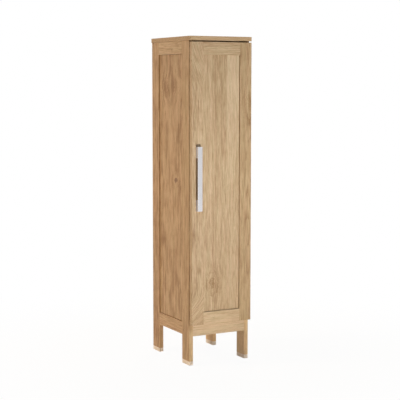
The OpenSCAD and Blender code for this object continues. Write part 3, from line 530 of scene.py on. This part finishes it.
boards = {
    # left front leg: its strips paint the front face paler near the foot (painted light), and its fall
    # darkens the tone towards the foot (painted shade)
    "left_front_leg": {
        "grain": "z", "pith": (0.07, 0.015), "slide": 1.3, "tint": (0.94, 0.86, 0.75), "across": 0.4,
        "strips": ("y", -0.19, -0.17, [(-0.19, 1.0), (-0.1815, 0.5)]), "stripFade": (0.12, 0.2, 1.4, 0.0),
        "fall": (0.1, 0.6, -0.13, -0.01),
        "knots": [((-0.171, -0.121, 0.174), (0.012, 0.008, 0.014), 0.22, 0.2)]},
    # right front leg: its fall paints the tone paler towards the foot, painted light on its shaded lower part
    "right_front_leg": {
        "grain": "z", "pith": (-0.06, 0.05), "slide": 4.1, "tint": (1.0, 0.93, 0.8),
        "fall": (0.14, 0.4, 0.45, 0.1)},
    # left rear leg: its strips paint the front face paler near the foot (painted light), and its fall darkens
    # the tone towards the foot (painted shade)
    "left_rear_leg": {
        "grain": "z", "pith": (0.05, 0.06), "slide": 7.7, "tint": (0.9, 0.78, 0.67), "across": 0.3,
        "contrast": 1.3, "fall": (0.3, 0.7, -0.15, -0.03),
        "strips": ("y", 0.15, 0.17, [(0.15, 1.0), (0.1577, 0.5)]), "stripFade": (0.12, 0.2, 1.3, 0.0)},
    # right rear leg: its warm, brighter tint and a tone paler towards the foot are painted light on a leg
    # that stands in shade under the cabinet
    "right_rear_leg": {
        "grain": "z", "pith": (0.08, -0.03), "slide": 11.2, "tint": (1.08, 0.92, 0.7), "across": 0.5,
        "fall": (0.14, 0.4, 0.6, 0.0)},
    "left_top_rail": {
        "grain": "y", "pith": (0.08, 0.02), "slide": 2.6, "tint": (1.0, 0.96, 0.9),
        "knots": [((-0.171, 0.0014, 1.588), (0.02, 0.016, 0.012), 0.2, 0.15)]},
    "right_top_rail": {"grain": "y", "pith": (-0.07, 0.03), "slide": 5.9, "tint": (1.0, 0.94, 0.9)},
    "left_bottom_rail": {"grain": "y", "pith": (0.06, 0.04), "slide": 8.8, "tint": (1.0, 0.9, 0.81)},
    "right_bottom_rail": {"grain": "y", "pith": (-0.09, 0.01), "slide": 14.3, "tint": (0.96, 0.9, 0.86)},
    "front_top_rail": {"grain": "x", "pith": (0.03, 0.08), "slide": 3.3},
    "front_bottom_rail": {"grain": "x", "pith": (0.05, 0.09), "slide": 6.4, "tone": 0.32},
    "rear_top_rail": {"grain": "x", "pith": (0.02, -0.07), "slide": 9.5},
    "rear_bottom_rail": {"grain": "x", "pith": (0.05, -0.06), "slide": 12.6},
    # left side panel: its fall darkens the top (painted shade), and its tint, darker and more orange than the
    # door's, is in part painted shade
    "left_side_panel": {
        "grain": "z", "pith": (0.075, 0.11), "slide": 15.7, "bend": 0.022, "tint": (0.905, 0.815, 0.715),
        "across": 0.22, "contrast": 1.35, "mottle": 0.9, "fall": (1.2, 1.6, 0.0, -0.12),
        "knots": [((-0.166, -0.03, 0.929), (0.03, 0.045, 0.034), 0.26, 0.4),
                  ((-0.166, 0.02, 1.4), (0.06, 0.1, 0.06), 0.0, 0.12)]},
    # right side panel: tinted darker and more orange than the door like the left side panel, in part painted
    # shade
    "right_side_panel": {
        "grain": "z", "pith": (-0.05, 0.17), "slide": 18.8, "bend": 0.022, "tint": (0.9, 0.82, 0.76),
        "across": 0.22, "contrast": 1.35, "mottle": 0.9},
    "top_board": {
        "grain": "x", "pith": (0.1, 0.04), "slide": 21.9, "tint": (1.0, 0.96, 0.9), "tone": 0.05,
        "strips": ("x", -0.18, 0.18, [(-0.18, 0.2), (-0.1742, 0.5), (0.1742, 0.2)]),
        "stripFade": (0.0, 0.1, 0.7, 0.7)},
    "bottom_board": {"grain": "x", "pith": (0.07, 0.02), "slide": 25.0},
    "first_shelf": {"grain": "x", "pith": (0.08, 0.03), "slide": 28.1},
    "fixed_shelf": {"grain": "x", "pith": (0.06, -0.02), "slide": 31.2},
    "third_shelf": {"grain": "x", "pith": (0.09, 0.01), "slide": 34.3},
    "fourth_shelf": {"grain": "x", "pith": (0.07, -0.04), "slide": 37.4},
    "left_top_cleat": {"grain": "y", "pith": (0.04, 0.05), "slide": 40.5},
    "right_top_cleat": {"grain": "y", "pith": (0.05, 0.04), "slide": 43.6},
    "left_bottom_cleat": {"grain": "y", "pith": (0.06, 0.02), "slide": 46.7},
    "right_bottom_cleat": {"grain": "y", "pith": (0.03, 0.06), "slide": 49.8},
    "door_left_stile": {
        "grain": "z", "pith": (0.02, 0.09), "slide": 52.9, "contrast": 1.1, "mottle": 0.8,
        "leans": [(0.35, "down", 1.0), (1.42, "up", 0.35)]},
    "door_right_stile": {
        "grain": "z", "pith": (-0.015, 0.08), "slide": 56.0, "tint": (0.92, 0.88, 0.81),
        "knots": [((0.16, -0.2115, 1.335), (0.03, 0.03, 0.1), 0.0, 0.35)]},
    "door_top_rail": {"grain": "x", "pith": (0.03, 0.09), "slide": 59.1},
    "door_bottom_rail": {"grain": "x", "pith": (0.05, 0.08), "slide": 62.2, "tone": 0.2},
    "door_panel": {
        "grain": "z", "pith": (0.16, 0.05), "slide": 65.3, "bend": 0.022,
        "knots": [((-0.051, -0.2045, 0.416), (0.036, 0.03, 0.06), 0.0, 0.62)],
        "strips": ("x", -0.12, 0.12, [(-0.12, 0.5), (-0.04, 0.42), (0.0315, 0.8)]),
        "stripFade": (0.9, 1.5, 0.15, 1.2)},
    "back_panel": {"grain": "z", "pith": (0.02, 0.14), "slide": 68.4},
}
easing = {
    "radius": 0.0009,
    "segments": 3,
    "shortest": 0.004,  # metres, edges below this stay sharp
    "smooth": 12.0,  # degrees up to which faces shade as one
    "weld": 2e-6,  # metres within which loose corners are joined
    "flat": 0.5,  # degrees up to which triangles count as one face
    "touch": 1e-5,  # metres within which an edge counts as on the box
}


def mergedCopy(node):
    shape = bmesh.new()
    shape.from_mesh(nodes[node].data)
    bmesh.ops.remove_doubles(shape, verts=shape.verts, dist=easing["weld"])
    flat = math.radians(easing["flat"])
    bmesh.ops.dissolve_limit(shape, angle_limit=flat, verts=shape.verts, edges=shape.edges)
    return shape


def boxArrises(shape, node, shortest):
    low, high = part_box(node)
    found = []
    for edge in shape.edges:
        sides = 0
        for axis in range(3):
            ends = [v.co[axis] for v in edge.verts]
            sides += any(all(abs(end - face[axis]) < easing["touch"] for end in ends) for face in (low, high))
        if sides >= 2 and edge.calc_length() > shortest:
            found.append(edge)
    return found


def ease(shape, arrises, radius, segments):
    bmesh.ops.bevel(shape, geom=arrises, offset=radius, offset_type="OFFSET", segments=segments,
                    profile=0.5, affect="EDGES", material=-1, clamp_overlap=True)


def newPiece(name, shape, material, stands, smooth):
    mesh = bpy.data.meshes.new(name)
    shape.to_mesh(mesh)
    shape.free()
    for face in mesh.polygons:
        face.use_smooth = True
    mesh.set_sharp_from_angle(angle=math.radians(smooth))
    mesh.materials.append(material)
    piece = bpy.data.objects.new(name, mesh)
    bpy.context.scene.collection.objects.link(piece)
    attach(piece, bodyOf[stands])
    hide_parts(stands)


def easedBoard(node, look):
    shape = mergedCopy(node)
    low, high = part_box(node)
    ease(shape, boxArrises(shape, node, easing["shortest"]), easing["radius"], easing["segments"])
    material = oakMaterial(node + "_oak", {**plainBoard, **look}, (low + high) / 2)
    newPiece(node + "_board", shape, material, node, easing["smooth"])


for node, look in boards.items():
    easedBoard(node, look)
print("boards cut and eased:", len(boards))


# Metal fittings

metals = {
    "satinHandle": {
        "base": (0.66, 0.65, 0.665), "rough": (0.14, 0.22), "scale": 900, "stretch": (1, 1, 0.02),
        "relief": 0.00003,
        # between these places along Y the bar ends and its blocks begin, which are duller: rougher, and in a
        # bluish grey that is a painted reflection
        "behind": {"start": -0.2293, "end": -0.2287, "colour": (0.56, 0.57, 0.63, 1.0), "rough": 0.32}},
    "nickel": {
        "base": (0.64, 0.625, 0.6), "rough": (0.22, 0.36), "scale": 260, "stretch": (1, 1, 1),
        "relief": 0.00001},
    "castZinc": {
        "base": (0.58, 0.58, 0.585), "rough": (0.38, 0.6), "scale": 700, "stretch": (1, 1, 1),
        "relief": 0.00005},
}
metalFinish = {
    "fineDetail": 3.0,
    "cloudScale": 14,
    "cloudDetail": 2.0,
    "cloudShare": 0.5,
    "edges": (0.3, 0.7),
    "tones": (0.93, 1.05),  # times the base colour
    "reliefStrength": 0.5,
}


def softNoise(tree, scale, detail, stretch=(1, 1, 1)):
    return noise(tree, objectPlace(tree), tuple(scale * share for share in stretch), detail)["Fac"]


def metalMaterial(name, look, finish):
    material, tree, shader = newMaterial(name, Metallic=1.0)
    fine = softNoise(tree, look["scale"], finish["fineDetail"], look["stretch"])
    cloud = softNoise(tree, finish["cloudScale"], finish["cloudDetail"])
    share = finish["cloudShare"]
    mixed = calc(tree, "MULTIPLY_ADD", cloud, share, calc(tree, "MULTIPLY", fine, 1 - share))
    rough = between(tree, mixed, *finish["edges"], *look["rough"], smooth=False)
    low, high = [tuple(level * times for level in look["base"]) + (1.0,) for times in finish["tones"]]
    colour = mixColour(tree, between(tree, mixed, *finish["edges"], smooth=False), low, high)
    # the handle's blocks behind the bar get a bluish grey, a painted reflection, and a rougher finish
    if "behind" in look:
        behind = look["behind"]
        past = between(tree, axesOf(tree, objectPlace(tree))[1], behind["start"], behind["end"])
        colour = mixColour(tree, past, colour, behind["colour"])
        rough = calc(tree, "MULTIPLY_ADD", past, behind["rough"], rough)
    tree.links.new(colour, shader["Base Color"])
    tree.links.new(rough, shader["Roughness"])
    addRelief(tree, shader, fine, finish["reliefStrength"], look["relief"])
    return material


# Plastic fittings

plastics = {
    "frostedPlastic": {"low": paint(230, 217, 204), "high": paint(241, 231, 221), "rough": (0.42, 0.6),
                       "clear": 0.0},
    "clearRubber": {"low": (0.78, 0.8, 0.8, 1), "high": (0.88, 0.9, 0.9, 1), "rough": (0.18, 0.3),
                    "clear": 0.6},
}
plasticFinish = {
    "bending": 1.46,
    "cloudScale": 60,
    "cloudDetail": 3.0,
    "cloudEdges": (0.35, 0.65),
    "fineScale": 1800,
    "fineDetail": 2.0,
    "fineEdges": (0.3, 0.7),
    "reliefStrength": 0.4,
    "relief": 0.00004,
}


def plasticMaterial(name, look, finish):
    material, tree, shader = newMaterial(name, Transmission_Weight=look["clear"], IOR=finish["bending"])
    cloud = softNoise(tree, finish["cloudScale"], finish["cloudDetail"])
    fine = softNoise(tree, finish["fineScale"], finish["fineDetail"])
    tone = between(tree, cloud, *finish["cloudEdges"])
    tree.links.new(mixColour(tree, tone, look["low"], look["high"]), shader["Base Color"])
    rough = between(tree, fine, *finish["fineEdges"], *look["rough"], smooth=False)
    tree.links.new(rough, shader["Roughness"])
    addRelief(tree, shader, fine, finish["reliefStrength"], finish["relief"])
    return material


# Beech dowels

beech = {
    "Pale": paint(226, 196, 158),
    "Mid": paint(212, 180, 140),
    "Dark": paint(190, 154, 114),
    "Pore": paint(160, 120, 84),
    "Ring": 0.002,
    "Bend": 0.01,
    "Tone": 0.0,
}
beechRough = 0.6


def beechMaterial(name, look):
    material, tree, shader = newMaterial(name, Roughness=beechRough)
    turned = put(tree, "Mapping", {"Vector": objectPlace(tree), "Rotation": grainTurn["x"]}).outputs[0]
    figure = useGroup(tree, grainGroup, {"Position": turned, **look})
    tree.links.new(figure["Color"], shader["Base Color"])
    return material


finishes = {name: metalMaterial(name, look, metalFinish) for name, look in metals.items()}
finishes.update({name: plasticMaterial(name, look, plasticFinish) for name, look in plastics.items()})
finishes["beech"] = beechMaterial("beech", beech)

hinges = [f"{place}_hinge_{part}"
          for place in ("lower", "middle", "upper") for part in ("plate", "arm", "cup")]
caps = [f"{side}_{end}_foot_cap" for side in ("left", "right") for end in ("front", "rear")]
screws = ["cam_bolts", "top_screws", "cleat_screws", "back_panel_screws", "foot_cap_screws",
          "hinge_plate_screws", "hinge_clip_screws", "hinge_cup_screws", "hinge_pins", "handle_screws"]
fittings = {  # box eases the edges of a block, sharp those of a shape with many corners
    "handle": {"nodes": ["handle"], "finish": "satinHandle",
               "edges": "box", "radius": 0.0006, "shortest": 0.004},
    "hinges": {"nodes": hinges, "finish": "nickel",
               "edges": "sharp", "radius": 0.0002, "shortest": 0.0015},
    "screws": {"nodes": screws, "finish": "nickel"},
    "cast": {"nodes": ["cams", "shelf_pegs"], "finish": "castZinc"},
    "caps": {"nodes": caps, "finish": "frostedPlastic",
             "edges": "box", "radius": 0.001, "shortest": 0.004},
    "bumpers": {"nodes": ["door_bumpers"], "finish": "clearRubber"},
    "pins": {"nodes": ["dowels"], "finish": "beech"},
}
fittingSegments = 2
fittingSmooth = 32  # degrees
sharpTurn = 60  # degrees


def sharpArrises(shape, shortest):
    return [edge for edge in shape.edges
            if edge.is_manifold and edge.calc_length() > shortest
            and edge.calc_face_angle_signed() > math.radians(sharpTurn)]


def fitting(node, look):
    shape = mergedCopy(node)
    if "edges" in look:
        if look["edges"] == "box":
            arrises = boxArrises(shape, node, look["shortest"])
        else:
            arrises = sharpArrises(shape, look["shortest"])
        ease(shape, arrises, look["radius"], fittingSegments)
    newPiece(node + "_fitting", shape, finishes[look["finish"]], node, fittingSmooth)


for look in fittings.values():
    for node in look["nodes"]:
        fitting(node, look)
print("fittings made:", sum(len(look["nodes"]) for look in fittings.values()))
